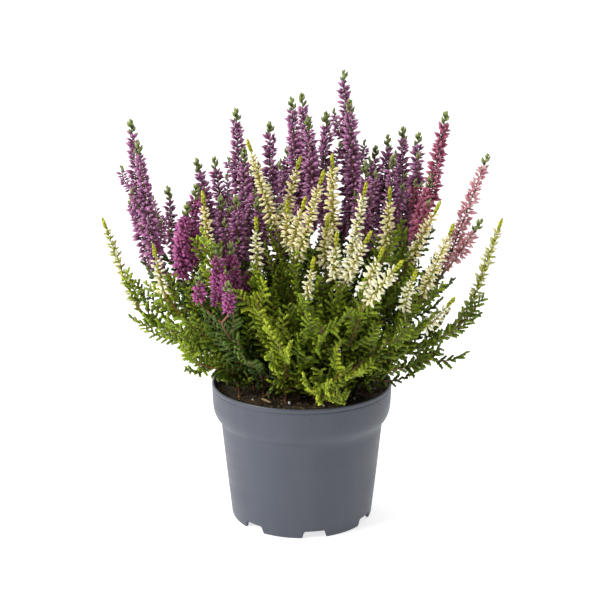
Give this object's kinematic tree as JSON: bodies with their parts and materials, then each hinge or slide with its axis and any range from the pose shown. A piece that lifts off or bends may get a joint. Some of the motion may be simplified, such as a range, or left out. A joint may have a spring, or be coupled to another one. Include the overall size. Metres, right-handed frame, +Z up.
{
  "type": "potted heather",
  "caption": "Bushy heather with many upright bud-covered flower spikes over scale-leaved stems, growing in peat in a tapered nursery pot with a rolled rim band and notched foot.",
  "frame": {"origin": "centre of the pot's foot, on the surface it stands on, which is the bottom centre of the whole plant's box", "axes": "+Z up along the pot's axis, -Y towards the viewer of the picture, +X to the viewer's right"},
  "size_m": [0.2583, 0.1705, 0.294],
  "materials": {
    "pot_plastic": "satin moulded polypropylene, blue grey, with fine scuffs",
    "peat": "damp dark peat with fibres, crumbs and a few white grains",
    "dark_foliage": "dull dark green scale leaves on red-brown wood",
    "green_foliage": "mid green scale leaves on orange-brown wood",
    "lime_foliage": "yellow-lime scale leaves",
    "purple_flower": "mauve to deep purple closed buds, darker at the foot",
    "magenta_flower": "bright magenta closed buds",
    "rose_flower": "red-pink closed buds",
    "pink_flower": "pale dusty pink closed buds",
    "cream_flower": "cream buds with yellow-green stem and bracts",
    "white_flower": "ivory white buds with lime stem and bracts"
  },
  "bodies": {
    "root": {"pot": "pot_plastic", "soil": "peat", "stem_left_purple": "dark_foliage", "purple_spray_far_left": "purple_flower", "purple_spray_left_short": "purple_flower", "stem_left_magenta": "dark_foliage", "magenta_spray_left": "magenta_flower", "purple_spray_left_back": "purple_flower", "stem_left_white": "lime_foliage", "thin_spray_far_left": "cream_flower", "white_spray_left": "white_flower", "cream_spray_left": "cream_flower", "stem_centre_left_purple": "dark_foliage", "purple_spray_centre_left": "purple_flower", "purple_spray_centre_left_low": "purple_flower", "stem_centre_purple": "dark_foliage", "purple_spray_centre": "purple_flower", "purple_spray_centre_low": "purple_flower", "stem_middle_purple": "dark_foliage", "purple_spray_middle": "purple_flower", "stem_tall_purple": "dark_foliage", "purple_spray_tall": "purple_flower", "purple_spray_right_centre": "purple_flower", "stem_right_purple": "dark_foliage", "purple_spray_right": "purple_flower", "purple_spray_far_right": "purple_flower", "stem_right_rose": "dark_foliage", "rose_spray": "rose_flower", "pink_spray": "pink_flower", "stem_front_magenta": "dark_foliage", "magenta_spray_front": "magenta_flower", "magenta_spray_front_low": "magenta_flower", "stem_centre_white": "green_foliage", "cream_spray_centre": "cream_flower", "white_spray_centre": "white_flower", "stem_front_cream": "green_foliage", "cream_spray_front": "cream_flower", "white_spray_front": "white_flower", "stem_middle_cream": "green_foliage", "cream_spray_middle": "cream_flower", "stem_right_white": "green_foliage", "white_spray_right": "white_flower", "cream_spray_right": "cream_flower", "stem_front_right_white": "green_foliage", "white_spray_front_right": "white_flower", "cream_spray_far_right": "cream_flower", "stem_far_right_white": "green_foliage", "cream_spray_low_right": "cream_flower", "white_spray_low_right": "white_flower", "thin_spray_far_right": "cream_flower", "stem_back_left": "green_foliage", "purple_spray_back_left": "purple_flower", "white_spray_back_left": "white_flower", "stem_back_right": "green_foliage", "purple_spray_back": "purple_flower", "cream_spray_back_right": "cream_flower", "stem_front_lime": "lime_foliage", "stem_rim_lime": "lime_foliage"}
  },
  "joints": []
}
